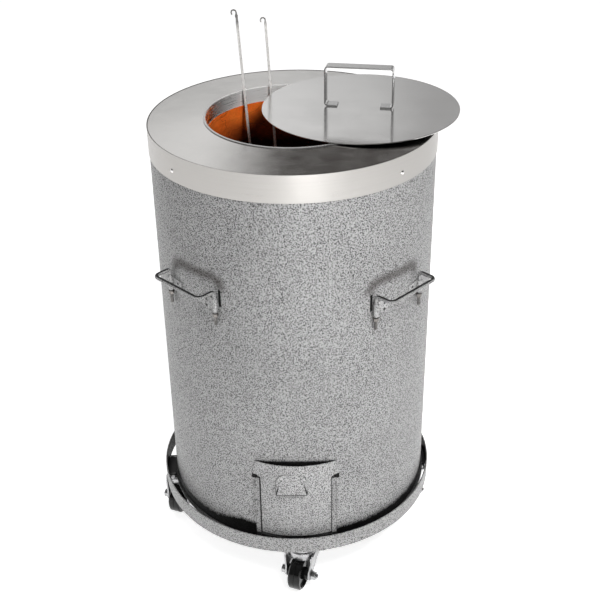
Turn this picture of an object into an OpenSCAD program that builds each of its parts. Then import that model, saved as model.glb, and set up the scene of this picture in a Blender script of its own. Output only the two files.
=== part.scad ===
/* [Drum] */
// Outer diameter of the steel drum
drum_d = 572; // [560:1:584]
// Height of the top rim above the floor
rim_z = 972; // [960:1:984]
// Height of the drum's rolled foot above the floor
foot_z = 114; // [112:0.5:116]
// Thickness of the drum's sheet
shell_t = 1.5; // [1:0.5:2]

/* [Top] */
// Inside diameter of the mouth collar
mouth_d = 344; // [340:1:346]
// Rise of the top plate from the rim to the mouth
plate_rise = 5; // [3:0.5:7]
// Height of the stainless band
band_h = 54; // [40:1:70]
// Depth of the mouth collar below the rim
collar_drop = 24; // [20:1:26]
// Azimuth of the band rivet left of the front
left_rivet_az = -50; // [-60:0.5:-30]
// Azimuth of the band rivet right of the front
right_rivet_az = 45.5; // [30:0.5:60]

/* [Clay pot] */
// Inside radius of the belly
belly_r = 216; // [210:1:220]
// Wall thickness of the clay
clay_t = 28; // [24:1:30]
// Height of the top of the charcoal grate
grate_z = 237; // [236:0.5:238]

/* [Lid] */
// Diameter of the lid
lid_d = 395; // [380:1:400]
// Lid centre, to the right of the drum's axis
lid_x = 135.5; // [130:0.5:140]
// Lid centre, behind the drum's axis
lid_y = 32; // [28:1:40]
// Turn of the lid about its own centre
lid_turn = -9; // [-15:1:0]
// Width of the lid handle
grip_w = 138; // [120:1:150]
// Height of the lid handle
grip_h = 82; // [70:1:95]
// Handle's middle, to the right of the lid's centre
grip_x = -3; // [-6:0.5:6]
// Handle's middle, behind the lid's centre
grip_y = 4; // [-6:0.5:6]

/* [Skewers] */
// Side of the square skewer bar
skewer_s = 5.5; // [5:0.5:6]
// Wire thickness of the hanging hook
hook_wire = 3; // [2.5:0.5:3.5]
// Length of the left skewer up to its hook
left_skewer_len = 916; // [880:1:930]
// Length of the right skewer up to its hook
right_skewer_len = 895; // [870:1:930]

/* [Ash door] */
// Height of the door's lower edge
door_z = 137; // [136:0.5:138]
// Height of the door
door_h = 194; // [190:1:198]
// Half width of the door between the rails
door_half_w = 79.5; // [79:0.25:80]
// Middle of the finger pull, to the right of the door's middle
pull_x = -8; // [-12:0.5:12]
// Stand-off of the door's middle from the drum
door_bulge = 9; // [7:0.5:9.5]

/* [Carrying handles] */
// Azimuth of the left handle's middle
left_handle_az = -43.6; // [-48:0.1:-40]
// Azimuth of the right handle's middle
right_handle_az = 46.3; // [40:0.1:48]
// Height of the left handle's rod
left_handle_z = 718; // [650:1:750]
// Height of the right handle's rod
right_handle_z = 702; // [650:1:750]
// Distance between the two legs of a handle
handle_w = 131; // [110:1:140]
// Reach of the bar from the drum's surface
handle_reach = 37.5; // [30:0.5:42]
// Diameter of the handle rod
rod_d = 8; // [7:0.5:9]

/* [Dolly] */
// Turn of the dolly under the drum
dolly_turn = 3.7; // [0:0.1:5]
// Shift of the dolly under the drum, to the right
dolly_x = -5; // [-6:0.5:6]
// Outer radius of the guard ring
ring_r = 306.5; // [306:0.5:310]
// Height of the guard ring
ring_h = 37; // [30:1:45]
// Width of the flat cross bars
bar_w = 58; // [50:1:59]

/* [Casters] */
// Wheel diameter
wheel_d = 75; // [70:1:76]
// Width of the wheel's tread
tread_w = 28; // [24:1:32]
// Distance of the swivel axes from the drum's axis
caster_r = 270; // [268:0.5:271]
// Trail of the wheel behind the swivel axis
trail = 25; // [20:1:27]
// Heading of the four wheel axles
caster_yaw = -20; // [-40:0.5:40]

/* [Hidden] */
CORNERS = ["front", "right", "back", "left"];
$fn = 96;

drum_r = drum_d / 2;
inner_r = drum_r - shell_t;
mouth_r = mouth_d / 2;
sheet = 1.5;
gap = 0.3;
far = 700;

// Drum foot: a rolled chime below a raised floor
chime_r = 4.5;
chime_z = foot_z + chime_r;
base_z = foot_z + 14;
base_t = 2;

// Floor slab, clay pot and grate
slab_z = base_z + base_t + gap;
slab_top = 150;
ledge_z = grate_z - 12;
ledge_r = 180;
pot_foot_r = 182;
belly_z = 480;
pot_top = rim_z - collar_drop - 2;
neck_r = mouth_r - 2;
pot_steps = 9;
grate_r = 191;
grate_slot_w = 14;
grate_pitch = 26;

// Ash tunnel through the insulation
tunnel_half_w = 63;
tunnel_z0 = slab_top + 1;
tunnel_z1 = ledge_z;
tunnel_in_y = 196;
port_gap = 2;

// Mouth lip that the lid lies on
lip_z = rim_z + plate_rise;
lip_t = 1.5;
lip_w = 5;
lid_z = lip_z + lip_t + gap;
lid_t = 2;

// Ash door: an arc in plan, flatter at the drum than the drum itself
flange_half_w = 90;
flange_top_half_w = 84;
flange_h = 34;
door_top = door_z + door_h;
edge_gap = 0.6;
door_mid_y = drum_r + door_bulge;
door_edge_y = sqrt(pow(drum_r + edge_gap, 2) - pow(flange_half_w, 2));
door_sag = door_mid_y - door_edge_y;
door_arc_r = (pow(flange_half_w, 2) + pow(door_sag, 2)) / (2 * door_sag);
door_arc_y = door_arc_r - door_mid_y;

// Finger pull pressed out of the door
pull_z = 261;
pull_h = 47;
pull_half_w = 32.5;
pull_top_half_w = 16;
pull_round = 15;
pull_depth = 7;

// Rails: a strip with a groove that the door's edge runs in
rail_z = 133;
rail_top = 293;
rail_stop = 3.5;
lip_in_r = drum_r + 5.4;
rail_out_r = lip_in_r + sheet;
rail_az_in = asin(75.5 / lip_in_r);
rail_az_web = asin((door_half_w + 1.2) / lip_in_r);
rail_az_out = asin(84.5 / lip_in_r);
rail_rivet_az = (rail_az_web + rail_az_out) / 2;

// Carrying handles
leg_r = drum_r + 5.9;
leg_x = handle_w / 2;
leg_y = round(10 * sqrt(pow(leg_r, 2) - pow(leg_x, 2))) / 10;
bar_y = drum_r + handle_reach;
corner_r = 12;
drop_r = 8;
leg_drop = 46;
thread_d = 6;
thread_drop = 74;
clamp_z0 = -44;
clamp_z1 = -17;
clamp_t = 2;
leg_az = asin(leg_x / leg_r);
clamp_span = 7;

// Dolly
ring_t = 3;
ring_in_r = ring_r - ring_t;
ring_z = 107;
bar_t = 8;
bar_z = foot_z - bar_t;

// Casters, from the wheel up
axle_z = wheel_d / 2;
axle_r = 5;
hub_w = 48;
fork_in = 49;
leg_t = 3.5;
fork_out = fork_in + 2 * leg_t;
crown_r = 33;
race_in_r = 26.7;
crown_z = 98;
plate_t = 3;
plate_z = bar_z - plate_t;
plate_w = 92;
plate_d = 62;
slot_x = 36;
slot_y = 22;
slot_w = 9;
slot_l = 12;
kingpin_r = 6;
fit = 0.06;

// Skewers: the point on the grate and the place where each leans on the mouth
SKEWER_TIP = [[-43.9, -2.5, grate_z + 0.6], [-2.6, 4, grate_z + 0.6]];
SKEWER_LEAN = [[-102.9, 132.3, lip_z + lip_t], [-49.5, 160.5, lip_z + lip_t]];
hook_r = 5;

function arc(cx, cy, r, a0, a1, n) =
  [for (i = [0:n]) let (a = a0 + (a1 - a0) * i / n) [cx + r * cos(a), cy + r * sin(a)]];

function rounded_frame(w, h, r) = concat(
  arc(w / 2 - r, h - r, r, 0, 90, 8),
  arc(r - w / 2, h - r, r, 90, 180, 8),
  arc(r - w / 2, r, r, 180, 270, 8),
  arc(w / 2 - r, r, r, 270, 360, 8)
);

// Inside radius of the clay pot at a height above the grate's ledge
function pot_r(z) = z < belly_z
  ? belly_r - (belly_r - pot_foot_r) * pow((belly_z - z) / (belly_z - slab_top), 2)
  : belly_r - (belly_r - neck_r) * pow((z - belly_z) / (pot_top - belly_z), 2);

function pot_side(z0, z1, extra) =
  [for (i = [0:pot_steps]) let (z = z0 + (z1 - z0) * i / pot_steps) [pot_r(z) + extra, z]];

// Turns what is drawn at the front of the drum to an azimuth
module at_az(az) {
  rotate([0, 0, az]) children();
}

// Frame of a carrying handle: side -1 is the left one, 1 the right one
module at_handle(side) {
  at_az(side < 0 ? left_handle_az : right_handle_az) {
    translate([0, 0, side < 0 ? left_handle_z : right_handle_z]) children();
  }
}

// Sweeps a profile of radius and height between two azimuths
module sector(az0, az1) {
  rotate([0, 0, az0 - 90]) rotate_extrude(angle = az1 - az0) children();
}

module tube(r_out, r_in, z0, z1) {
  difference() {
    translate([0, 0, z0]) cylinder(r = r_out, h = z1 - z0);
    translate([0, 0, z0 - 1]) cylinder(r = r_in, h = z1 - z0 + 2);
  }
}

// A box across the front wall, from one depth to another
module front_box(half_w, y_out, y_in, z0, z1) {
  translate([-half_w, -y_out, z0]) cube([2 * half_w, y_out - y_in, z1 - z0]);
}

// A low round rivet head standing on the plane z = 0
module rivet_head(d, h) {
  r = (d * d / 4 + h * h) / (2 * h);
  intersection() {
    translate([0, 0, h - r]) sphere(r = r);
    cylinder(d = 2 * d, h = 2 * h);
  }
}

module hexagon(across_flats, h) {
  cylinder(d = across_flats / cos(30), h = h, $fn = 6);
}

module drum_shell() {
  color([0.62, 0.62, 0.62]) difference() {
    tube(drum_r, inner_r, chime_z + chime_r + gap, rim_z - 3);
    front_box(tunnel_half_w + port_gap, far, 200, slab_top, ledge_z + 1);
  }
}

module drum_base() {
  color([0.55, 0.55, 0.55]) {
    rotate_extrude() {
      translate([drum_r, chime_z]) circle(r = chime_r, $fn = 32);
      translate([inner_r - gap - 2.5, chime_z - 1]) square([5, 2]);
      translate([inner_r - gap - base_t, chime_z - 1]) square([base_t, base_z + base_t - chime_z + 1]);
      translate([0, base_z]) square([inner_r - gap, base_t]);
    }
  }
}

module floor_slab() {
  color([0.72, 0.66, 0.58]) translate([0, 0, slab_z]) cylinder(r = inner_r - 1, h = slab_top - slab_z);
}

module insulation() {
  outer = inner_r - gap;
  color([0.80, 0.78, 0.72]) difference() {
    rotate_extrude() polygon(concat(
      pot_side(slab_top + gap, pot_top, clay_t + gap),
      [
        [mouth_r + 4, pot_top + gap], [mouth_r + 4, lip_z - 3], [outer - 1, rim_z - 4], [outer, rim_z - 5],
        [outer, slab_top + gap]
      ]
    ));
    front_box(tunnel_half_w + gap, far, 150, slab_top - 1, ledge_z + gap);
  }
}

module clay_pot() {
  color([0.78, 0.40, 0.20]) difference() {
    rotate_extrude() polygon(concat(
      [[ledge_r, slab_top + gap], [ledge_r, ledge_z]],
      pot_side(ledge_z, pot_top, 0),
      [for (i = [pot_steps:-1:0]) pot_side(slab_top + gap, pot_top, clay_t)[i]]
    ));
    front_box(tunnel_half_w + 1, far, 100, slab_top - 1, ledge_z + 1);
  }
}

// The slots stay clear of a solid hub in the middle, where the skewers stand
module charcoal_grate() {
  thick = grate_z - ledge_z - gap;
  hub_r = 50;
  spine = 8;
  color([0.22, 0.22, 0.22]) difference() {
    translate([0, 0, ledge_z + gap]) cylinder(r = grate_r, h = thick);
    for (i = [-6:6], sy = [-1, 1]) {
      x = i * grate_pitch;
      near = max(abs(x) - grate_slot_w / 2, 0);
      start = near < hub_r ? max(spine, round(sqrt(pow(hub_r, 2) - pow(near, 2)))) : spine;
      end = round(sqrt(pow(grate_r - 14, 2) - pow(abs(x) + grate_slot_w / 2, 2)));
      translate([x - grate_slot_w / 2, sy < 0 ? -end : start, ledge_z - 1]) {
        cube([grate_slot_w, end - start, far]);
      }
    }
  }
}

module ash_tunnel() {
  color([0.45, 0.45, 0.45]) intersection() {
    difference() {
      front_box(tunnel_half_w, far, tunnel_in_y, tunnel_z0, tunnel_z1);
      front_box(tunnel_half_w - sheet, far + 1, 100, tunnel_z0 + sheet, tunnel_z1 - sheet);
    }
    cylinder(r = inner_r - gap, h = rim_z);
  }
}

module top_plate() {
  edge_r = drum_r - 0.6;
  hole_r = mouth_r + sheet + gap;
  color([0.74, 0.73, 0.71]) rotate_extrude() polygon([
    [hole_r, lip_z - sheet], [hole_r, lip_z], [edge_r, rim_z], [edge_r, rim_z - sheet]
  ]);
}

module mouth_collar() {
  low = rim_z - collar_drop;
  color([0.80, 0.79, 0.78]) rotate_extrude() {
    polygon([
      [mouth_r, low], [mouth_r + sheet, low], [mouth_r + sheet, lip_z],
      [mouth_r + lip_w, lip_z], [mouth_r + lip_w, lip_z + lip_t],
      [mouth_r + 0.8, lip_z + lip_t], [mouth_r, lip_z + lip_t - 0.8]
    ]);
    translate([mouth_r + 0.6, low]) circle(r = 1.4, $fn = 24);
  }
}

module top_band() {
  color([0.76, 0.75, 0.73]) tube(drum_r + gap + sheet, drum_r + gap, rim_z - band_h, rim_z + 0.5);
}

module band_rivets() {
  rivet_down = 33;
  color([0.85, 0.85, 0.84]) for (az = [left_rivet_az, right_rivet_az, 135, 225]) at_az(az) {
    translate([0, -drum_r - gap - sheet, rim_z - rivet_down]) rotate([90, 0, 0]) rivet_head(8.5, 2.4);
  }
}

// The door's sheet as a tall arc, before its outline is cut
module door_arc(r_out, r_in) {
  translate([0, door_arc_y, 0]) tube(r_out, r_in, door_z - 5, door_top + 5);
}

// Cuts a front outline of width and height out of what stands at the front
module front_prism(points) {
  rotate([90, 0, 0]) linear_extrude(height = far) polygon(points);
}

function pull_outline(inset, drop) = concat(
  [[pull_x - pull_half_w + inset, pull_z - drop], [pull_x + pull_half_w - inset, pull_z - drop]],
  arc(pull_x + pull_top_half_w, pull_z + pull_h - pull_round, pull_round - inset, 5, 90, 6),
  arc(pull_x - pull_top_half_w, pull_z + pull_h - pull_round, pull_round - inset, 90, 175, 6)
);

// Side view of the pull's front face, from its root at the top to its open lower edge
module pull_wedge(out, y_in) {
  y_face = door_mid_y + sheet;
  rotate([90, 0, 90]) translate([0, 0, -far / 2]) linear_extrude(height = far) polygon([
    [-y_in, pull_z - 10], [-y_face - out, pull_z - 10], [-y_face - out, pull_z + 12],
    [-y_face - 0.62 * out, pull_z + pull_h - 10], [-y_face, pull_z + pull_h + out / 3],
    [-y_in, pull_z + pull_h + out / 3]
  ]);
}

module ash_door() {
  slope = 1;
  outline = [
    [-door_half_w, door_z], [door_half_w, door_z], [door_half_w, door_top - flange_h - slope],
    [flange_half_w, door_top - flange_h], [flange_top_half_w, door_top], [-flange_top_half_w, door_top],
    [-flange_half_w, door_top - flange_h], [-door_half_w, door_top - flange_h - slope]
  ];
  color([0.62, 0.62, 0.62]) {
    difference() {
      intersection() {
        door_arc(door_arc_r + sheet, door_arc_r);
        front_prism(outline);
      }
      front_prism(pull_outline(sheet + 1, -1));
    }
    difference() {
      intersection() {
        front_prism(pull_outline(0, 0));
        pull_wedge(pull_depth, door_mid_y - 4);
      }
      intersection() {
        front_prism(pull_outline(sheet, 5));
        pull_wedge(pull_depth - sheet, 200);
      }
      door_arc(door_arc_r + 0.2, 10);
    }
  }
}

module door_rail(side) {
  profile_h = rail_top - rail_z;
  groove_h = profile_h - rail_stop;
  mirror([side < 0 ? 1 : 0, 0, 0]) color([0.60, 0.60, 0.60]) difference() {
    sector(rail_az_in, rail_az_out) translate([drum_r + gap, rail_z]) square([rail_out_r - drum_r - gap, profile_h]);
    sector(rail_az_in - 1, rail_az_web) {
      translate([drum_r - 1, rail_z + rail_stop]) square([lip_in_r - drum_r + 1, groove_h + 1]);
    }
  }
}

module rail_rivets() {
  color([0.45, 0.45, 0.45]) for (side = [-1, 1], z = [150, 190, 230, 270]) at_az(side * rail_rivet_az) {
    translate([0, -rail_out_r, z]) rotate([90, 0, 0]) rivet_head(3, 1);
  }
}

// A quarter bend of the handle rod in the plane z = 0, from the x axis to the y axis
module rod_bend(r) {
  rotate_extrude(angle = 90) translate([r, 0]) circle(d = rod_d, $fn = 32);
}

module handle_rod(side) {
  straight = leg_x - corner_r;
  arm = bar_y - corner_r - leg_y - drop_r;
  color([0.50, 0.50, 0.50]) at_handle(side) {
    translate([-straight, -bar_y, 0]) rotate([0, 90, 0]) cylinder(d = rod_d, h = 2 * straight);
    for (s = [-1, 1]) mirror([s < 0 ? 1 : 0, 0, 0]) {
      translate([straight, corner_r - bar_y, 0]) rotate([0, 0, -90]) rod_bend(corner_r);
      translate([leg_x, corner_r - bar_y, 0]) rotate([-90, 0, 0]) cylinder(d = rod_d, h = arm);
      translate([leg_x, -leg_y - drop_r, -drop_r]) rotate([90, 0, 90]) rod_bend(drop_r);
      translate([leg_x, -leg_y, -leg_drop]) cylinder(d = rod_d, h = leg_drop - drop_r);
      translate([leg_x, -leg_y, -thread_drop]) cylinder(d = thread_d, h = thread_drop - leg_drop);
    }
  }
}

// A strap along the drum that ends in a sleeve round the leg, drawn in plan
module handle_clamps(side) {
  pad_in = drum_r + gap + 0.1;
  a0 = leg_az - clamp_span - 90;
  a1 = leg_az - 0.5 - 90;
  color([0.58, 0.58, 0.58]) at_handle(side) for (s = [-1, 1]) {
    mirror([s < 0 ? 1 : 0, 0, 0]) translate([0, 0, clamp_z0]) linear_extrude(height = clamp_z1 - clamp_z0) {
      difference() {
        union() {
          polygon(concat(arc(0, 0, pad_in, a0, a1, 5), arc(0, 0, pad_in + clamp_t, a1, a0, 5)));
          translate([leg_x, -leg_y]) circle(r = rod_d / 2 + 1.4);
        }
        translate([leg_x, -leg_y]) circle(d = rod_d + 0.2);
      }
    }
  }
}

module clamp_rivets() {
  pad_r = drum_r + gap + 0.1 + clamp_t;
  color([0.50, 0.50, 0.50]) for (side = [-1, 1], s = [-1, 1], dz = [-38, -24]) {
    at_handle(side) at_az(s * (leg_az - 4.6)) {
      translate([0, -pad_r, dz]) rotate([90, 0, 0]) rivet_head(6, 1.8);
    }
  }
}

module handle_nuts() {
  nut_h = 5;
  color([0.80, 0.80, 0.80]) for (side = [-1, 1], s = [-1, 1]) at_handle(side) {
    translate([s * leg_x, -leg_y, clamp_z0 - 3.5]) difference() {
      union() {
        translate([0, 0, -nut_h - 1.5]) hexagon(9.6, nut_h);
        translate([0, 0, -1.5]) cylinder(r = 5.5, h = 1.2);
      }
      translate([0, 0, -nut_h - 2]) cylinder(d = thread_d + 0.1, h = nut_h + 3);
    }
  }
}

module lid_plate() {
  bevel = 0.5;
  color([0.80, 0.79, 0.78]) translate([lid_x, lid_y, lid_z]) rotate_extrude() polygon([
    [0, 0], [lid_d / 2 - bevel, 0], [lid_d / 2, bevel], [lid_d / 2, lid_t - bevel],
    [lid_d / 2 - bevel, lid_t], [0, lid_t]
  ]);
}

module lid_handle() {
  strap_w = 24;
  strap_t = 3;
  round_r = 7;
  foot_l = 26;
  color([0.86, 0.86, 0.85]) translate([lid_x + grip_x, lid_y + grip_y, lid_z + lid_t]) rotate([0, 0, lid_turn]) {
    translate([0, strap_w / 2, 0]) rotate([90, 0, 0]) linear_extrude(height = strap_w) difference() {
      polygon(rounded_frame(grip_w, grip_h, round_r));
      translate([0, strap_t]) polygon(rounded_frame(grip_w - 2 * strap_t, grip_h - 2 * strap_t, round_r - strap_t));
      translate([foot_l - grip_w / 2, -1]) square([grip_w - 2 * foot_l, strap_t + 2]);
    }
  }
}

// Stands along the line from its point to where it leans
module skewer(i, len) {
  line = SKEWER_LEAN[i] - SKEWER_TIP[i];
  lean = acos(line[2] / norm(line));
  heading = atan2(line[1], line[0]);
  point_l = 22;
  neck_l = 16;
  half = skewer_s / 2;
  bar = [
    [-0.4, 0], [0.4, 0], [half, point_l], [half, len - neck_l], [-half, len - neck_l], [-half, point_l]
  ];
  color([0.78, 0.77, 0.76]) translate(SKEWER_TIP[i]) rotate([0, 0, heading]) rotate([0, lean, 0]) rotate([0, 0, -heading]) {
    intersection() {
      rotate([90, 0, 0]) translate([0, 0, -skewer_s]) linear_extrude(height = 2 * skewer_s) polygon(bar);
      rotate([90, 0, 90]) translate([0, 0, -skewer_s]) linear_extrude(height = 2 * skewer_s) polygon(bar);
    }
    translate([0, 0, len - neck_l]) cylinder(d = hook_wire, h = neck_l, $fn = 24);
    translate([-hook_r, 0, len]) rotate([90, 0, 0]) rotate_extrude(angle = 230) {
      translate([hook_r, 0]) circle(d = hook_wire, $fn = 24);
    }
  }
}

// The dolly stands turned and a little off the drum's axis
module at_dolly() {
  translate([dolly_x, 0, 0]) rotate([0, 0, dolly_turn]) children();
}

module guard_ring() {
  color([0.60, 0.60, 0.60]) at_dolly() tube(ring_r, ring_in_r, ring_z, ring_z + ring_h);
}

module at_caster_plate(k) {
  at_dolly() rotate([0, 0, 90 * k]) translate([0, -caster_r, 0]) children();
}

// The bars end at the inside of the guard ring
module dolly_bar() {
  color([0.30, 0.30, 0.30]) at_dolly() intersection() {
    children();
    cylinder(r = ring_in_r - 0.1, h = rim_z);
  }
}

module cross_bar_long() {
  dolly_bar() translate([-bar_w / 2, -far / 2, bar_z]) cube([bar_w, far, bar_t]);
}

module cross_bar_left() {
  dolly_bar() translate([-far / 2, -bar_w / 2, bar_z]) cube([far / 2 - bar_w / 2, bar_w, bar_t]);
}

module cross_bar_right() {
  dolly_bar() translate([bar_w / 2, -bar_w / 2, bar_z]) cube([far / 2 - bar_w / 2, bar_w, bar_t]);
}

// The top plate of a caster, with a slot in each corner
module caster_plate(k) {
  boss_r = race_in_r - 0.7;
  color([0.70, 0.70, 0.70]) at_caster_plate(k) difference() {
    union() {
      translate([-plate_w / 2, -plate_d / 2, plate_z]) cube([plate_w, plate_d, plate_t]);
      translate([0, 0, crown_z + 1]) cylinder(r = boss_r, h = plate_z - crown_z - 1);
    }
    for (sx = [-1, 1], sy = [-1, 1]) translate([sx * slot_x, sy * slot_y, 0]) {
      for (end = [-1, 1]) translate([end * (slot_l - slot_w) / 2, 0, 0]) cylinder(d = slot_w, h = far);
      translate([(slot_w - slot_l) / 2, -slot_w / 2, 0]) cube([slot_l - slot_w, slot_w, far]);
    }
    cylinder(r = kingpin_r + 0.05, h = rim_z);
  }
}

// Frame of a caster's swivelling part: x along the axle, y away from the trailing wheel
module at_swivel(k) {
  az = dolly_turn + 90 * k;
  translate([dolly_x + caster_r * sin(az), -caster_r * cos(az), 0]) rotate([0, 0, caster_yaw]) children();
}

module caster_race(k) {
  color([0.60, 0.60, 0.58]) at_swivel(k) tube(crown_r - 3, race_in_r, crown_z, plate_z - 1);
}

module caster_fork(k) {
  skirt_z = 78;
  crown_t = 2.5;
  toe_r = 13;
  leg_top = crown_z - 7;
  flare_z = 52;
  low = axle_z - toe_r - 1;
  side = concat(
    [[22, leg_top], [-26, leg_top]],
    arc(-trail, axle_z, toe_r, 175, 345, 12),
    [[5, flare_z - 6], [26, skirt_z - 10]]
  );
  front = [
    [fork_out / 2, low], [fork_out / 2, flare_z], [crown_r, skirt_z], [crown_r, leg_top],
    [crown_r - leg_t, leg_top], [crown_r - leg_t, skirt_z], [fork_in / 2, flare_z], [fork_in / 2, low]
  ];
  color([0.72, 0.72, 0.72]) at_swivel(k) difference() {
    union() {
      rotate_extrude() polygon([
        [kingpin_r + fit, crown_z - crown_t], [kingpin_r + fit, crown_z], [crown_r - 3, crown_z],
        [crown_r, crown_z - 4], [crown_r, skirt_z], [crown_r - crown_t, skirt_z],
        [crown_r - crown_t, crown_z - 5], [crown_r - 5, crown_z - crown_t]
      ]);
      intersection() {
        rotate([90, 0, 90]) translate([0, 0, -far / 2]) linear_extrude(height = far) polygon(side);
        for (s = [0, 1]) mirror([s, 0, 0]) rotate([90, 0, 0]) {
          translate([0, 0, -far / 2]) linear_extrude(height = far) polygon(front);
        }
      }
    }
    translate([-far / 2, -trail, axle_z]) rotate([0, 90, 0]) cylinder(r = axle_r + 0.05, h = far);
  }
}

module caster_axle(k) {
  washer_t = 2;
  hex_w = 17;
  head_h = 8;
  nut_h = 10;
  tail = 4;
  grip = fork_out / 2 + washer_t;
  color([0.82, 0.82, 0.82]) at_swivel(k) translate([0, -trail, axle_z]) rotate([0, 90, 0]) {
    translate([0, 0, -grip]) cylinder(r = axle_r, h = 2 * grip + nut_h + tail);
    translate([0, 0, -grip - head_h]) hexagon(hex_w, head_h);
    translate([0, 0, -grip]) cylinder(r = 11, h = washer_t);
    translate([0, 0, grip - washer_t]) cylinder(r = 11, h = washer_t);
    translate([0, 0, grip]) hexagon(hex_w, nut_h);
  }
}

module caster_wheel(k) {
  tyre_r = wheel_d / 2;
  half = tread_w / 2;
  hub_r = 13;
  dish = 5;
  seam = 0.8;
  bore = axle_r + fit;
  color([0.06, 0.06, 0.06]) at_swivel(k) translate([0, -trail, axle_z]) rotate([0, 90, 0]) rotate_extrude() polygon([
    [bore, -hub_w / 2], [hub_r, -hub_w / 2], [hub_r + 1, dish - half], [tyre_r - 8, dish - half],
    [tyre_r - 6, -half], [tyre_r - 3, -half], [tyre_r, 3 - half], [tyre_r, -seam], [tyre_r - seam, 0],
    [tyre_r, seam], [tyre_r, half - 3], [tyre_r - 3, half], [tyre_r - 6, half],
    [tyre_r - 8, half - dish], [hub_r + 1, half - dish], [hub_r, hub_w / 2], [bore, hub_w / 2]
  ]);
}

module caster_kingpins() {
  head_h = 3.5;
  head_z = crown_z - 2.5 - gap - head_h;
  color([0.65, 0.65, 0.65]) for (k = [0:3]) at_caster_plate(k) {
    translate([0, 0, head_z]) cylinder(r = 11, h = head_h);
    translate([0, 0, head_z]) cylinder(r = kingpin_r, h = bar_z - gap - head_z);
  }
}

drum_shell();
drum_base();
floor_slab();
insulation();
clay_pot();
charcoal_grate();
ash_tunnel();
top_plate();
mouth_collar();
top_band();
band_rivets();
ash_door();
door_rail(-1);  // door_rail_left
door_rail(1);  // door_rail_right
rail_rivets();
handle_rod(-1);  // left_handle_rod
handle_rod(1);  // right_handle_rod
handle_clamps(-1);  // left_handle_clamps
handle_clamps(1);  // right_handle_clamps
clamp_rivets();
handle_nuts();
lid_plate();
lid_handle();
skewer(0, left_skewer_len);  // skewer_left
skewer(1, right_skewer_len);  // skewer_right
guard_ring();
cross_bar_long();
cross_bar_left();
cross_bar_right();
caster_kingpins();
for (k = [0:3]) {
  caster_plate(k);
  caster_race(k);
  caster_fork(k);
  caster_axle(k);
  caster_wheel(k);
}
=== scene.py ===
"""Looks of the charcoal tandoor: procedural materials, finer pieces, studio and camera. Lengths in metres."""

import math

import bmesh
import bpy
from mathutils import Matrix, Vector


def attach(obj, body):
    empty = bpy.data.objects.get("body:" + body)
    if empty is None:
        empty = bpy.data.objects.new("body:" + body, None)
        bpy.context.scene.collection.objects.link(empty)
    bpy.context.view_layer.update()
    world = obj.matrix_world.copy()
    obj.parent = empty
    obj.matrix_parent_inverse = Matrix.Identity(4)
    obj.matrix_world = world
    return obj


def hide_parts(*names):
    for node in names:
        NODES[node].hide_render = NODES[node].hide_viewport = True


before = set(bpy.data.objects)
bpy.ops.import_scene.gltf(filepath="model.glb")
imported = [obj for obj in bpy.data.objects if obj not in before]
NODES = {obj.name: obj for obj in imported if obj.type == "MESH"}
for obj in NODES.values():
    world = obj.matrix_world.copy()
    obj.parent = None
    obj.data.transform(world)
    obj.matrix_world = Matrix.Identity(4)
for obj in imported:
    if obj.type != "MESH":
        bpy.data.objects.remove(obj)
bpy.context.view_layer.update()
MM = 0.001

# For each carrying handle: degrees round from the front, height of the grip, and which end is nearer the camera
HANDLES = {"left": (-43.6, 0.718, 1), "right": (46.3, 0.702, -1)}

# Materials


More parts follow.
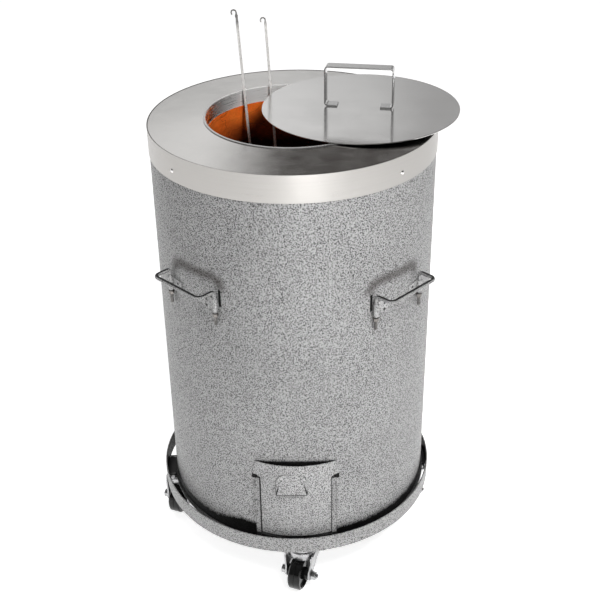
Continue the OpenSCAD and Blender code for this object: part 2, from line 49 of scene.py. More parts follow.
class Shader:
    """A Principled material whose maps are built from the piece's own coordinates."""

    def __init__(self, name, color=(0.5, 0.5, 0.5), metallic=0.0, roughness=0.5, **more):
        self.mat = bpy.data.materials.new(name)
        self.mat.use_nodes = True
        self.tree = self.mat.node_tree
        self.bsdf = self.tree.nodes["Principled BSDF"]
        self.put("Base Color", color)
        self.put("Metallic", metallic)
        self.put("Roughness", roughness)
        for key, value in more.items():
            self.put(key.replace("_", " ").title().replace("Ior", "IOR"), value)
        self.pos = self.node("ShaderNodeTexCoord").outputs["Object"]

    def put(self, socket, value):
        """Sets a socket of the shader to a fixed value, or links it to a map."""
        target = self.bsdf.inputs[socket]
        if isinstance(value, bpy.types.NodeSocket):
            self.tree.links.new(value, target)
        elif isinstance(value, (tuple, list)) and len(value) == 3:
            target.default_value = (*value, 1.0)
        else:
            target.default_value = value

    def node(self, kind, **inputs):
        made = self.tree.nodes.new(kind)
        for key, value in inputs.items():
            self.feed(made.inputs[key.replace("_", " ")], value)
        return made

    def feed(self, socket, value):
        if isinstance(value, bpy.types.NodeSocket):
            self.tree.links.new(value, socket)
        elif isinstance(value, (tuple, list)) and len(value) == 3 and socket.type == "RGBA":
            socket.default_value = (*value, 1.0)
        else:
            socket.default_value = value

    def scaled(self, x, y, z, source=None):
        """Coordinates multiplied per axis, to stretch what is drawn with them."""
        made = self.node("ShaderNodeVectorMath")
        made.operation = "MULTIPLY"
        self.feed(made.inputs[0], source or self.pos)
        made.inputs[1].default_value = (x, y, z)
        return made.outputs[0]

    def noise(self, scale, detail=3.0, rough=0.5, at=None):
        made = self.node("ShaderNodeTexNoise", Vector=at or self.pos, Scale=scale, Detail=detail, Roughness=rough)
        return made.outputs["Fac"]

    def cells(self, scale, at=None, feature="F1"):
        made = self.node("ShaderNodeTexVoronoi", Vector=at or self.pos, Scale=scale)
        made.feature = feature
        return made.outputs["Distance"]

    def math(self, how, a, b=0.0):
        made = self.node("ShaderNodeMath")
        made.operation = how
        self.feed(made.inputs[0], a)
        if len(made.inputs) > 1:
            self.feed(made.inputs[1], b)
        return made.outputs[0]

    def remap(self, value, a, b, c=0.0, d=1.0):
        made = self.node("ShaderNodeMapRange", Value=value)
        for key, number in (("From Min", a), ("From Max", b), ("To Min", c), ("To Max", d)):
            made.inputs[key].default_value = number
        return made.outputs[0]

    def ramp(self, value, stops):
        made = self.node("ShaderNodeValToRGB", Fac=value)
        band = made.color_ramp
        while len(band.elements) < len(stops):
            band.elements.new(0.5)
        for spot, (where, color) in zip(band.elements, stops):
            spot.position = where
            spot.color = (*color, 1.0)
        return made.outputs["Color"]

    def mix(self, fac, a, b, how="MIX"):
        made = self.node("ShaderNodeMix")
        made.data_type = "RGBA"
        made.blend_type = how
        self.feed(made.inputs[0], fac)
        self.feed(made.inputs[6], a)
        self.feed(made.inputs[7], b)
        return made.outputs[2]

    def shade(self, color, fac):
        """A colour multiplied by a number."""
        return self.mix(1.0, color, self.node("ShaderNodeCombineXYZ", X=fac, Y=fac, Z=fac).outputs[0], "MULTIPLY")

    def axis(self, name):
        return self.node("ShaderNodeSeparateXYZ", Vector=self.pos).outputs[name]

    def radius(self, x):
        """Distance from the upright axis through a place on the x axis."""
        moved = self.node("ShaderNodeVectorMath")
        self.feed(moved.inputs[0], self.pos)
        moved.inputs[1].default_value = (-x, 0, 0)
        flat = self.scaled(1, 1, 0, moved.outputs[0])
        made = self.node("ShaderNodeVectorMath")
        made.operation = "LENGTH"
        self.feed(made.inputs[0], flat)
        return made.outputs["Value"]

    def bump(self, height, strength, distance, under=None):
        made = self.node("ShaderNodeBump", Height=height, Strength=strength, Distance=distance)
        if under is not None:
            self.feed(made.inputs["Normal"], under)
        return made.outputs[0]


def grey(value, warm=0.0):
    return (value * (1 + warm), value, value * (1 - warm))


# Black used for painted shade in gaps, pockets and creases
PAINTED_SHADE_BLACK = grey(0.004)


def hammertone(name, low, high, painted_shade_and_grime=None):
    """Silver-grey hammered enamel: shallow cells from low to high grey, faint clouds and brown specks."""
    s = Shader(name, metallic=0.30, coat_roughness=0.25)
    pits = s.cells(470, s.pos, "SMOOTH_F1")
    small = s.noise(1150, 2, 0.6)
    cell = s.math("ADD", s.math("MULTIPLY", pits, 0.62), s.math("MULTIPLY", small, 0.5))
    middle = low * 0.5 + high * 0.42
    base = s.ramp(cell, [(0.400, grey(low, 0.01)), (0.46, grey(middle, 0.005)), (0.525, grey(high, 0.0))])
    cloud = s.remap(s.noise(5, 3, 0.55), 0.3, 0.7, 0.93, 1.05)
    base = s.shade(base, cloud)
    speck = s.remap(s.noise(520, 3, 0.6), 0.58, 0.72, 0.0, 0.40)
    brown = (low * 1.5, low * 1.25, low * 1.05)
    base = s.mix(speck, base, brown)
    # Painted shade, and some grime, laid over the enamel's colour
    if painted_shade_and_grime:
        base = painted_shade_and_grime(s, base)
    s.put("Base Color", base)
    # Where shade is painted black, the gloss is taken down with it
    black, lit = 0.004, 0.05
    s.put("Specular IOR Level", s.remap(base, black, lit, 0.02, 0.30))
    s.put("Coat Weight", s.remap(base, black, lit, 0.0, 0.03))
    s.put("Roughness", s.remap(s.noise(240, 2, 0.5), 0.3, 0.7, 0.36, 0.55))
    coarse = s.bump(pits, 0.7, 0.0009)
    s.put("Normal", s.bump(small, 0.4, 0.0004, coarse))
    return s.mat


def band(s, value, low, high):
    """1 between two levels of a number, 0 outside them, with a soft edge."""
    soft = 0.0008
    return s.math("MULTIPLY", s.remap(value, low - soft, low, 0.0, 1.0), s.remap(value, high, high + soft, 1.0, 0.0))


def drum_shade_and_grime(s, base):
    """Ash grime and painted shade at the foot inside the ring, higher left of the door; painted shade in the pockets
    behind the door's top; painted shadows of the carrying handles.
    """
    x, z = s.axis("X"), s.axis("Z")
    wide = s.math("ABSOLUTE", x)
    front = s.remap(s.axis("Y"), -0.21, -0.20, 1.0, 0.0)

    # Painted shade of the ring with ash grime: the foot darkens to near black, reaching higher left of the door
    foot_low, foot_high = 0.132, 0.142
    heap_x, heap_height = -0.112, 0.016
    from_heap = s.math("ABSOLUTE", s.math("SUBTRACT", x, heap_x))
    heap = s.remap(from_heap, 0.012, 0.062, heap_height, 0.0)
    ragged = s.math("MULTIPLY", s.noise(150, 4, 0.75), 0.022)
    edge = s.math("SUBTRACT", z, s.math("ADD", heap, ragged))
    foot = s.remap(edge, foot_low, foot_high, 0.012, 1.0)

    # Painted shade: black in the pocket behind the door's top, in the wedges under the flange's corners and along the
    # rails' outer edges
    pocket_top, pocket_half, rail_top = 0.3345, 0.0838, 0.299
    crown = s.math("ADD", z, s.math("MULTIPLY", s.math("MULTIPLY", x, x), 1.1))
    below_crown = s.remap(crown, pocket_top, pocket_top + 0.005, 1.0, 0.0)
    above_rail = s.remap(z, rail_top, rail_top + 0.001, 0.0, 1.0)
    pocket = s.math("MULTIPLY", s.math("MULTIPLY", below_crown, band(s, wide, -1.0, pocket_half)), above_rail)
    wedge = s.math("MULTIPLY", band(s, wide, 0.076, 0.0905), band(s, z, 0.284, 0.2965))
    rail_edge_shade = s.math("MULTIPLY", band(s, wide, 0.0840, 0.0858), s.remap(z, 0.280, 0.286, 0.45, 0.0))
    black = s.math("MULTIPLY", s.math("MAXIMUM", s.math("MAXIMUM", pocket, wedge), rail_edge_shade), front)

    # Painted shadows of each handle: a brown arch over it and a black strip beside its near clamp
    for azimuth, height, near in HANDLES.values():
        painted_shadow, clamp_shadow = handle_painted_shadows(s, math.radians(azimuth), height, near)
        base = s.mix(painted_shadow, base, (0.030, 0.021, 0.018))
        black = s.math("MAXIMUM", black, clamp_shadow)
    return s.mix(s.math("MULTIPLY", black, 0.97), s.shade(base, foot), PAINTED_SHADE_BLACK)


def handle_painted_shadows(s, azimuth, height, near):
    """Painted shadows of a handle: a faint brown arch cast over it, and a black strip beside its near clamp."""
    c, d = math.cos(azimuth), math.sin(azimuth)
    x, y = s.axis("X"), s.axis("Y")
    along = s.math("ADD", s.math("MULTIPLY", x, c), s.math("MULTIPLY", y, d))
    out = s.math("SUBTRACT", s.math("MULTIPLY", x, d), s.math("MULTIPLY", y, c))
    this_side = s.remap(out, 0.20, 0.21, 0.0, 1.0)
    up = s.math("SUBTRACT", s.axis("Z"), height)

    corner, half, top, shift = 0.024, 0.040, 0.004, 0.011 * near
    beside = s.math("MAXIMUM", s.math("SUBTRACT", s.math("ABSOLUTE", s.math("SUBTRACT", along, shift)), half), 0.0)
    above = s.math("MAXIMUM", s.math("SUBTRACT", up, top), 0.0)
    reach = s.math("SQRT", s.math("ADD", s.math("MULTIPLY", beside, beside), s.math("MULTIPLY", above, above)))
    arch = s.remap(s.math("ABSOLUTE", s.math("SUBTRACT", reach, corner)), 0.003, 0.016, 0.66, 0.0)
    painted_shadow = s.math("MULTIPLY", s.math("MULTIPLY", arch, s.remap(up, -0.004, 0.014, 0.0, 1.0)), this_side)

    clamp_shadow = s.math("MULTIPLY", band(s, s.math("MULTIPLY", along, near), 0.0692, 0.0738), band(s, up, -0.034, 0.002))
    return painted_shadow, s.math("MULTIPLY", clamp_shadow, this_side)


def rod_top_shade(s, base):
    """Painted shade on the upper side of the rods, lighter below."""
    up = s.node("ShaderNodeSeparateXYZ", Vector=s.node("ShaderNodeTexCoord").outputs["Normal"]).outputs["Z"]
    return s.mix(s.remap(up, 0.62, 0.84, 0.0, 0.93), base, grey(0.008))


def rail_shade(s, base):
    """Painted shade: the rails' open tops and their feet in the ring are dark."""
    z = s.axis("Z")
    top = s.remap(z, 0.2900, 0.2908, 0.0, 0.95)
    foot = s.remap(z, 0.1415, 0.1445, 0.95, 0.0)
    return s.mix(s.math("MAXIMUM", top, foot), base, PAINTED_SHADE_BLACK)


def ring_inside_shade(s, base):
    """Painted shade: the inner face and inner edge of the ring are black."""
    ring_x, ring_inside = -0.005, 0.3038
    return s.shade(base, s.remap(s.radius(ring_x), ring_inside, ring_inside + 0.0006, 0.02, 1.0))


def door_painted_shade(s, base):
    """Painted shade: dark lines in the creases round the pull's lower edge and sides, along the rails' lips, and
    black at the foot.
    """
    x, z = s.axis("X"), s.axis("Z")
    pull_x, pull_foot, pull_half, pull_taper = -0.008, 0.261, 0.0325, 0.22
    up = s.math("SUBTRACT", z, pull_foot)
    half = s.math("SUBTRACT", pull_half, s.math("MULTIPLY", s.math("MAXIMUM", up, 0.0), pull_taper))
    side = s.math("SUBTRACT", s.math("ABSOLUTE", s.math("SUBTRACT", x, pull_x)), half)
    away = s.math("ABSOLUTE", s.math("MAXIMUM", side, s.math("MULTIPLY", up, -1.0)))
    line = s.math("MULTIPLY", s.remap(away, 0.0009, 0.0019, 1.0, 0.0), s.remap(up, 0.014, 0.036, 1.0, 0.0))
    lips = s.math("MAXIMUM", s.remap(x, -0.0732, -0.0722, 1.0, 0.0), s.remap(x, 0.0736, 0.0746, 0.0, 1.0))
    lips = s.math("MULTIPLY", lips, s.remap(z, 0.292, 0.294, 1.0, 0.0))
    foot = s.remap(z, 0.1440, 0.1450, 1.0, 0.0)
    black = s.math("MAXIMUM", line, s.math("MAXIMUM", lips, foot))
    return s.mix(s.math("MULTIPLY", black, 0.96), base, PAINTED_SHADE_BLACK)


def brushed(name, color, roughness, along, spread=0.05, smudge=0.06, streak=0.5, haze=None, dark_from=None, **more):
    """Steel: long fine grain, deeper strokes and faint smudges.

    haze is two places on the y axis and a level: between them the metal dulls to that level.
    dark_from is the height above which the tone falls off, as on the skewers' hooks.
    """
    s = Shader(name, color, **{"metallic": 1.0, **more})
    if haze:
        s.put("Metallic", s.remap(s.axis("Y"), haze[0], haze[1], 1.0, haze[2]))
    grain = s.noise(1.0, 3, 0.65, s.scaled(*along))
    strokes = s.noise(1.0, 2, 0.5, s.scaled(*(v * 0.23 for v in along)))
    cloud = s.noise(9, 4, 0.6)
    both = s.math("ADD", s.math("MULTIPLY", grain, 0.7), s.math("MULTIPLY", strokes, 0.3))
    tone = s.remap(both, 0.25, 0.75, 0.90, 1.0)
    if dark_from:
        tone = s.math("MULTIPLY", tone, s.remap(s.axis("Z"), dark_from, dark_from + 0.022, 1.0, 0.30))
    s.put("Base Color", s.shade(color, tone))
    grained = s.remap(both, 0.3, 0.7, roughness - spread, roughness + spread)
    s.put("Roughness", s.math("ADD", grained, s.remap(cloud, 0.35, 0.75, 0.0, smudge)))
    s.put("Normal", s.bump(both, streak * 0.12, 0.0002))
    return s.mat


def zinc(name, color, roughness=0.3):
    """Bright zinc plating with a soft crystal pattern and dull spots."""
    s = Shader(name, metallic=1.0)
    flake = s.cells(140, s.pos, "F1")
    cloud = s.noise(60, 4, 0.6)
    spangle = s.math("ADD", s.math("MULTIPLY", flake, 0.5), s.math("MULTIPLY", cloud, 0.6))
    s.put("Base Color", s.ramp(spangle, [(0.25, tuple(c * 0.78 for c in color)), (0.75, color)]))
    s.put("Roughness", s.remap(cloud, 0.3, 0.75, roughness - 0.08, roughness + 0.16))
    s.put("Normal", s.bump(s.noise(420, 2, 0.5), 0.08, 0.0003))
    return s.mat


def black_plastic(name):
    """Glossy moulded wheel: near black, finely grained, with a little floor dust low down."""
    s = Shader(name, roughness=0.16, specular_ior_level=0.30)
    low_down = s.remap(s.axis("Z"), 0.0, 0.03, 0.35, 0.06)
    dust = s.math("MULTIPLY", s.remap(s.noise(130, 5, 0.7), 0.50, 0.80, 0.0, 1.0), low_down)
    s.put("Base Color", s.mix(dust, grey(0.004), (0.10, 0.095, 0.09)))
    gloss = s.remap(s.noise(300, 3, 0.6), 0.3, 0.7, 0.10, 0.20)
    s.put("Roughness", s.math("ADD", gloss, s.math("MULTIPLY", dust, 0.6)))
    s.put("Normal", s.bump(s.noise(900, 2, 0.5), 0.06, 0.0002))
    return s.mat


def clay(name):
    """Hand-worked terracotta, orange at the mouth, with finger bands and hair cracks, darker further down with soot
    and painted shade.
    """
    s = Shader(name, roughness=0.85)
    bands = s.noise(1.0, 3, 0.5, s.scaled(6, 6, 70))
    grit = s.noise(260, 5, 0.7)
    patch = s.noise(11, 4, 0.6)
    base = s.ramp(patch, [(0.30, (0.80, 0.120, 0.012)), (0.55, (0.92, 0.170, 0.020)), (0.78, (0.97, 0.23, 0.032))])
    base = s.mix(s.remap(grit, 0.35, 0.75, 0.0, 0.35), base, (0.26, 0.07, 0.02))
    wander = s.node("ShaderNodeTexNoise", Vector=s.pos, Scale=22.0).outputs["Color"]
    cracks = s.remap(s.cells(16, s.mix(0.06, s.pos, wander), "DISTANCE_TO_EDGE"), 0.0, 0.018, 0.0, 1.0)
    base = s.mix(s.remap(cracks, 0.0, 1.0, 0.55, 0.0), base, (0.06, 0.015, 0.006))
    # Soot with painted shade: the clay darkens to near black deeper in the pot
    depth = s.math("ADD", s.axis("Z"), s.math("MULTIPLY", s.noise(14, 4, 0.6), 0.09))
    full_soot_and_shade, no_soot_or_shade = 0.902, 0.972
    soot_and_shade = s.remap(depth, full_soot_and_shade, no_soot_or_shade, 0.995, 0.0)
    base = s.mix(soot_and_shade, base, (0.020, 0.006, 0.004))
    s.put("Base Color", base)
    s.put("Roughness", s.remap(grit, 0.3, 0.7, 0.74, 0.95))
    low = s.bump(bands, 0.5, 0.003)
    s.put("Normal", s.bump(s.math("ADD", grit, s.math("MULTIPLY", cracks, 0.6)), 0.5, 0.0009, low))
    return s.mat


def rough_dark(name, color, rough=0.7, metallic=0.0, scale=120):
    """Dull dark part: scale, grime and a grainy surface."""
    s = Shader(name, metallic=metallic)
    grime = s.noise(scale, 5, 0.65)
    dark, pale = tuple(c * 0.6 for c in color), tuple(min(1, c * 1.25) for c in color)
    s.put("Base Color", s.ramp(grime, [(0.30, dark), (0.70, pale)]))
    s.put("Roughness", s.remap(grime, 0.3, 0.7, rough - 0.12, rough + 0.12))
    s.put("Normal", s.bump(s.noise(scale * 4, 4, 0.6), 0.35, 0.0006))
    return s.mat


PAINT = hammertone("hammertone_enamel", 0.12, 0.52)
ROD = hammertone("hammertone_rod", 0.10, 0.42, rod_top_shade)
RAIL = hammertone("hammertone_rail", 0.06, 0.36, rail_shade)
DRUM = hammertone("hammertone_drum", 0.025, 0.43, drum_shade_and_grime)
RING = hammertone("hammertone_ring", 0.06, 0.44, ring_inside_shade)
DOOR = hammertone("hammertone_door", 0.05, 0.48, door_painted_shade)
# Painted shade: the base inside the ring is a much darker copy of the enamel
FOOT_IN_SHADE = hammertone("hammertone_foot_in_shade", 0.03, 0.12)
# Near black: partly the bars' own dark paint, partly painted shade from under the drum
BAR_BLACK = rough_dark("dark_bar_with_painted_shade", (0.030, 0.030, 0.031), 0.45)
PLATE = brushed("satin_stainless_top", (0.80, 0.785, 0.765), 0.13, (30, 30, 30), 0.03, 0.05, 0.25)
LID = brushed("satin_stainless_lid", (0.82, 0.81, 0.80), 0.13, (9, 900, 60), 0.03, 0.04, 0.25)
BAND = brushed("brushed_stainless_band", (0.47, 0.455, 0.437), 0.30, (7, 7, 1500), 0.06, 0.06, 0.9, anisotropic=0.5)
COLLAR = brushed(
    "rolled_stainless_collar", (0.84, 0.83, 0.82), 0.26, (20, 20, 700), 0.05, 0.08, 0.6, haze=(0.05, 0.15, 0.30)
)
STRAP = brushed("polished_stainless_strap", (0.72, 0.715, 0.71), 0.16, (60, 60, 900), 0.04, 0.04, 0.4)
SKEWER = brushed(
    "drawn_steel_skewer", (0.80, 0.785, 0.765), 0.24, (900, 900, 25), 0.07, 0.10, 0.8, metallic=0.40, dark_from=1.098
)
RIVET = brushed("polished_rivet", (0.84, 0.83, 0.82), 0.14, (400, 400, 400), 0.04, 0.05, 0.3)
DARK_STEEL = rough_dark("dull_dark_rivet", (0.12, 0.12, 0.12), 0.5, 0.7, 300)
ZINC = zinc("zinc_plate", (0.46, 0.46, 0.465))
ZINC_BRIGHT = zinc("bright_zinc", (0.42, 0.42, 0.425), 0.22)
ZINC_DULL = zinc("dull_zinc", (0.26, 0.245, 0.23), 0.42)
WHEEL = black_plastic("glossy_black_wheel")
CLAY = clay("terracotta_soot_and_shade")
SLAB = rough_dark("fire_brick", (0.40, 0.32, 0.24), 0.9, 0, 90)
FILL = rough_dark("fibre_insulation", (0.62, 0.60, 0.54), 0.95, 0, 160)
IRON = rough_dark("cast_iron_grate", (0.040, 0.038, 0.037), 0.6, 0.6, 150)
DUCT = rough_dark("sooty_sheet", (0.16, 0.15, 0.14), 0.5, 0.8, 80)

CASTERS = ["front", "right", "back", "left"]
WEAR = {
    "drum_shell": DRUM, "drum_base": FOOT_IN_SHADE, "floor_slab": SLAB, "insulation": FILL, "clay_pot": CLAY,
    "charcoal_grate": IRON, "ash_tunnel": DUCT, "top_plate": PLATE, "mouth_collar": COLLAR, "top_band": BAND,
    "band_rivets": RIVET, "ash_door": DOOR, "door_rail_left": RAIL, "door_rail_right": RAIL,
    "rail_rivets": DARK_STEEL, "left_handle_rod": ROD, "right_handle_rod": ROD, "left_handle_clamps": PAINT,
    "right_handle_clamps": PAINT, "clamp_rivets": DARK_STEEL, "handle_nuts": ZINC_DULL, "lid_plate": LID,
    "lid_handle": STRAP, "skewer_left": SKEWER, "skewer_right": SKEWER, "guard_ring": RING,
    "cross_bar_long": BAR_BLACK, "cross_bar_left": BAR_BLACK, "cross_bar_right": BAR_BLACK, "caster_kingpins": ZINC,
}
for corner in CASTERS:
    WEAR[corner + "_caster_plate"] = ZINC
    WEAR[corner + "_caster_race"] = ZINC
    WEAR[corner + "_caster_fork"] = ZINC
    WEAR[corner + "_caster_axle"] = ZINC_BRIGHT
    WEAR[corner + "_caster_wheel"] = WHEEL
for name, material in WEAR.items():
    NODES[name].data.materials.clear()
    NODES[name].data.materials.append(material)

# Small edges on the solids that come from the CAD


def soften(name, width, segments=2, angle=30):
    """Rounds the sharp edges of a solid a little, so that they catch light."""
    piece = NODES[name]
    weld = piece.modifiers.new("weld", "WELD")
    weld.merge_threshold = 1e-5
    bevel = piece.modifiers.new("bevel", "BEVEL")
    bevel.width = width
    bevel.segments = segments
    bevel.limit_method = "ANGLE"
    bevel.angle_limit = math.radians(angle)
    bevel.harden_normals = True


# Finer pieces


def sweep(name, rings, body, material):
    """A closed skin over rings of points, all with the same count, as one piece that rides on a body."""
    mesh = bpy.data.meshes.new(name)
    build = bmesh.new()
    rows = [[build.verts.new(p) for p in ring] for ring in rings]
    count = len(rows[0])
    for a, b in zip(rows, rows[1:]):
        for i in range(count):
            build.faces.new((a[i], a[(i + 1) % count], b[(i + 1) % count], b[i]))
    build.faces.new(list(reversed(rows[0])))
    build.faces.new(rows[-1])
    bmesh.ops.recalc_face_normals(build, faces=build.faces)
    build.to_mesh(mesh)
    build.free()
    piece = bpy.data.objects.new(name, mesh)
    bpy.context.scene.collection.objects.link(piece)
    mesh.shade_smooth()
    mesh.set_sharp_from_angle(angle=math.radians(35))
    mesh.materials.append(material)
    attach(piece, body)
    return piece


def rounded_square(half, corner):
    """Outline of a square with rounded corners, from its middle."""
    per = 4
    points = []
    for q in range(4):
        mid = math.radians(45 + 90 * q)
        cx, cy = (half - corner) * math.copysign(1, math.cos(mid)), (half - corner) * math.copysign(1, math.sin(mid))
        for i in range(per):
            a = math.radians(90 * q + 90 * i / (per - 1))
            points.append((cx + corner * math.cos(a), cy + corner * math.sin(a)))
    return points


def make_skewer(node, body, tip, lean, length, twisted):
    """Square bar with a forged point, a neck and a bent hook, on the line from its tip to where it leans. In mm."""
    tip, lean = Vector(tip) * MM, Vector(lean) * MM
    ahead = (lean - tip).normalized()
    heading = math.atan2(ahead.y, ahead.x)
    tilt = math.acos(ahead.z)
    spin = Matrix.Rotation(heading, 3, "Z") @ Matrix.Rotation(tilt, 3, "Y") @ Matrix.Rotation(-heading, 3, "Z")
    bar, wire, bend = 2.75, 1.6, 5.0
    point, neck, twist = 22.0, 6.0, 15.0
    hook_turn, round_corner = 230, 0.97
    rings = []

    def ring(center, across, side, half, corner, turn=0.0):
        points = []
        c, d = math.cos(turn), math.sin(turn)
        for u, v in rounded_square(half, corner):
            points.append(tip + spin @ ((Vector(center) + across * (u * c - v * d) + side * (u * d + v * c)) * MM))
        rings.append(points)

    x, y = Vector((1, 0, 0)), Vector((0, 1, 0))
    for z, half in ((0.0, 0.35), (7.0, 1.2), (15.0, 2.1), (point, bar)):
        ring((0, 0, z), x, y, half, half * 0.3)
    straight_top = length - neck - twist
    for i in range(1, 9):
        ring((0, 0, point + (straight_top - point) * i / 8), x, y, bar, 0.5)
    for i in range(1, 37):
        k = i / 36
        half = bar - twisted * 0.7 * math.sin(math.pi * k)
        ring((0, 0, straight_top + twist * k), x, y, half, 0.5, math.pi * 2 * k * twisted)
    for i in range(1, 7):
        k = i / 6
        half = bar + (wire - bar) * min(1.0, k * 1.6)
        ring((0, 0, length - neck + neck * k), x, y, half, half * min(round_corner, 0.2 + k))
    for i in range(1, 25):
        a = math.radians(hook_turn * i / 24)
        center = Vector((-bend + bend * math.cos(a), 0, length + bend * math.sin(a)))
        across = Vector((math.cos(a), 0, math.sin(a)))
        ring(center, across, y, wire, wire * round_corner)
    piece = sweep(node + "_bar", rings, body, SKEWER)
    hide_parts(node)


make_skewer("skewer_left", "left_skewer", (-43.9, -2.5, 237.6), (-102.9, 132.3, 978.5), 915.8, 1)
make_skewer("skewer_right", "right_skewer", (-2.6, 4.0, 237.6), (-49.5, 160.5, 978.5), 895, 0)


def make_threads():
    """Rolled thread on the lower end of each handle leg. In mm."""
    leg_x, leg_y = 65.5, 284.5
    root, crest, pitch = 2.95, 3.3, 1.0
    bottom, long = -73.6, 27.0
    steps, around = 150, 14
    for side, (azimuth, height, near) in HANDLES.items():
        a = math.radians(azimuth)
        for end in (-1, 1):
            cx = end * leg_x * math.cos(a) + leg_y * math.sin(a)
            cy = end * leg_x * math.sin(a) - leg_y * math.cos(a)
            rings = []
            for i in range(steps + 1):
                h = bottom + long * i / steps
                ring = []
                for j in range(around):
                    t = 2 * math.pi * j / around
                    phase = (h / pitch - j / around) % 1.0
                    r = root + (crest - root) * (1 - abs(2 * phase - 1))
                    if i in (0, steps):
                        r = root
                    ring.append(((cx + r * math.cos(t)) * MM, (cy + r * math.sin(t)) * MM, height + h * MM))
                rings.append(ring)
            where = "near" if end == near else "far"
            piece = sweep(f"{side}_handle_thread_{where}", rings, "oven", ZINC_DULL)


make_threads()
soften("lid_handle", 0.5 * MM, 3)
soften("ash_door", 0.35 * MM, 2, 40)
for corner in CASTERS:
    soften(corner + "_caster_fork", 0.5 * MM, 2, 35)
    soften(corner + "_caster_plate", 0.4 * MM, 2, 40)
    soften(corner + "_caster_axle", 0.5 * MM, 2, 40)

# Studio and camera

# Name, place, what it points at, size, watts and whether steel mirrors it
LAMPS = [
    ("left_low", (-1.25, -0.35, 0.22), (-0.2, -0.2, 0.72), (0.16, 0.12), 1.5, False),
    ("right_low", (1.25, -0.35, 0.22), (0.2, -0.2, 0.70), (0.16, 0.12), 1.8, False),
    ("left_softbox", (-2.6, -1.6, 1.1), (0, 0, 0.6), (1.6, 1.8), 0.8, False),
    ("right_softbox", (2.4, -2.0, 0.9), (0, 0, 0.6), (1.6, 1.8), 4.5, False),
    ("front_softbox", (0.5, -2.5, 0.45), (0, 0, 0.7), (0.9, 0.4), 10, True),
    ("mouth_softbox", (0.9, -1.5, 2.7), (-0.1, 0, 0.9), (0.7, 0.7), 60, False),
    ("top_softbox", (-0.6, 0.8, 3.4), (0, 0, 0.9), (2.4, 1.6), 16, False),
]


def add_stage(name, build, material):
    mesh = bpy.data.meshes.new(name)
    build.to_mesh(mesh)
    build.free()
    mesh.materials.append(material)
    piece = bpy.data.objects.new(name, mesh)
    bpy.context.scene.collection.objects.link(piece)


def floor_paint():
    """Pale matt floor that also glows to the eye and to mirrors, so that it reads white and keeps its shadow."""
    s = Shader("pale_floor", (0.90, 0.90, 0.90), roughness=0.9)
    s.put("Base Color", s.ramp(s.noise(3, 2, 0.5), [(0.3, grey(0.89)), (0.7, grey(0.91))]))
    path = s.node("ShaderNodeLightPath")
    mirrored = s.math("MAXIMUM", path.outputs["Is Glossy Ray"], path.outputs["Is Transmission Ray"])
    seen = s.math("MAXIMUM", path.outputs["Is Camera Ray"], mirrored)
    glow = s.node("ShaderNodeEmission", Color=(1.0, 1.0, 1.0), Strength=s.math("MULTIPLY", seen, 0.80))
    both = s.node("ShaderNodeAddShader")
    s.tree.links.new(s.bsdf.outputs[0], both.inputs[0])
    s.tree.links.new(glow.outputs[0], both.inputs[1])
    out = next(n for n in s.tree.nodes if n.type == "OUTPUT_MATERIAL")
    s.tree.links.new(both.outputs[0], out.inputs["Surface"])
    return s.mat


def make_stage():
    """Round floor with a low backdrop at its edge, so that views from low down end in the same pale studio."""
    floor_radius, wall_radius, wall_height, sides = 14.0, 13.9, 3.2, 96
    paint = floor_paint()
    floor = bmesh.new()
    bmesh.ops.create_circle(floor, cap_ends=True, segments=sides, radius=floor_radius)
    add_stage("floor", floor, paint)
    wall = bmesh.new()
    foot, top = [], []
    for i in range(sides):
        a = 2 * math.pi * i / sides
        x, y = wall_radius * math.cos(a), wall_radius * math.sin(a)
        foot.append(wall.verts.new((x, y, 0)))
        top.append(wall.verts.new((x, y, wall_height)))
    for i in range(sides):
        j = (i + 1) % sides
        wall.faces.new((foot[i], top[i], top[j], foot[j]))
    add_stage("backdrop", wall, paint)


def lamp(name, where, target, size, power, mirrored):
    data = bpy.data.lights.new(name, "AREA")
    data.shape = "RECTANGLE"
    data.size, data.size_y = size
    data.energy = power
    piece = bpy.data.objects.new(name, data)
    piece.location = where
    piece.rotation_euler = (Vector(target) - Vector(where)).to_track_quat("-Z", "Y").to_euler()
    piece.visible_glossy = mirrored
    bpy.context.scene.collection.objects.link(piece)


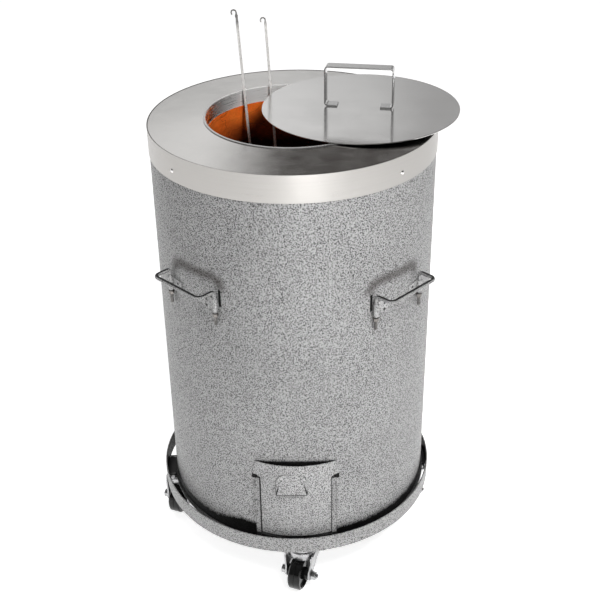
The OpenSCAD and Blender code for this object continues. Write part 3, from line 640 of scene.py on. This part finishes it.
def make_world():
    """Pale studio seen low behind the oven, falling off to the right, dark above it, dimmer behind the camera."""
    world = bpy.data.worlds.new("studio")
    bpy.context.scene.world = world
    world.use_nodes = True
    tree = world.node_tree
    back = tree.nodes["Background"]
    split = tree.nodes.new("ShaderNodeSeparateXYZ")
    tree.links.new(tree.nodes.new("ShaderNodeTexCoord").outputs["Generated"], split.inputs[0])

    def curve(axis, stops):
        ramp = tree.nodes.new("ShaderNodeValToRGB")
        shift = tree.nodes.new("ShaderNodeMath")
        shift.operation = "MULTIPLY_ADD"
        shift.inputs[1].default_value = shift.inputs[2].default_value = 0.5
        tree.links.new(split.outputs[axis], shift.inputs[0])
        tree.links.new(shift.outputs[0], ramp.inputs["Fac"])
        band = ramp.color_ramp
        while len(band.elements) < len(stops):
            band.elements.new(0.5)
        for spot, (where, level) in zip(band.elements, stops):
            spot.position = where * 0.5 + 0.5
            spot.color = (level, level, level, 1.0)
        return ramp.outputs["Color"]

    def blend(how, fac, a, b):
        made = tree.nodes.new("ShaderNodeMix")
        made.data_type, made.blend_type = "RGBA", how
        for socket, value in zip((made.inputs[0], made.inputs[6], made.inputs[7]), (fac, a, b)):
            if isinstance(value, bpy.types.NodeSocket):
                tree.links.new(value, socket)
            else:
                socket.default_value = value
        return made.outputs[2]

    pale = curve("X", [
        (-0.75, 0.25), (-0.30, 0.50), (-0.14, 0.84), (-0.04, 0.98),
        (0.04, 0.80), (0.10, 0.54), (0.40, 0.40), (0.75, 0.25),
    ])
    low = curve("Z", [(0.05, 0.62), (0.300, 0.64), (0.335, 0.80), (0.360, 1.0)])
    above = curve("Z", [(0.382, 0.0), (0.418, 1.0), (0.62, 1.0), (0.85, 0.55)])
    right = curve("X", [(-0.13, 0.0), (-0.04, 1.0)])
    dark = blend("MULTIPLY", 1.0, above, right)
    ceiling = (0.05, 0.045, 0.042, 1.0)
    full = blend("MIX", dark, blend("MULTIPLY", 1.0, pale, low), ceiling)
    level = blend("MULTIPLY", 1.0, full, curve("Y", [(-0.35, 0.45), (0.35, 1.0)]))
    tree.links.new(level, back.inputs["Color"])
    back.inputs["Strength"].default_value = 1.0


def make_camera():
    """Pinhole at the photograph's place: turn about the drum's axis, distance, height, pitch, yaw and roll."""
    turn, distance, height = math.radians(1.5483), 2.04767, 1.7494
    pitch, yaw, roll = 0.5292, 0.0043, -0.0162
    ahead = Vector((math.sin(yaw) * math.cos(pitch), math.cos(yaw) * math.cos(pitch), -math.sin(pitch)))
    right = ahead.cross(Vector((0, 0, 1))).normalized()
    up = right.cross(ahead)
    side = right * math.cos(roll) + up * math.sin(roll)
    top = up * math.cos(roll) - right * math.sin(roll)
    spin = Matrix.Rotation(turn, 3, "Z")
    axes = Matrix((spin @ side, spin @ top, spin @ -ahead)).transposed()
    data = bpy.data.cameras.new("camera")
    data.sensor_width = 36.0
    data.lens = 65.51
    piece = bpy.data.objects.new("camera", data)
    place = Vector((distance * math.sin(turn), -distance * math.cos(turn), height))
    piece.matrix_world = Matrix.Translation(place) @ axes.to_4x4()
    bpy.context.scene.collection.objects.link(piece)
    bpy.context.scene.camera = piece


bpy.context.scene.view_settings.view_transform = "Standard"
make_stage()
make_world()
for name, where, target, size, power, mirrored in LAMPS:
    lamp(name, where, target, size, power, mirrored)
make_camera()
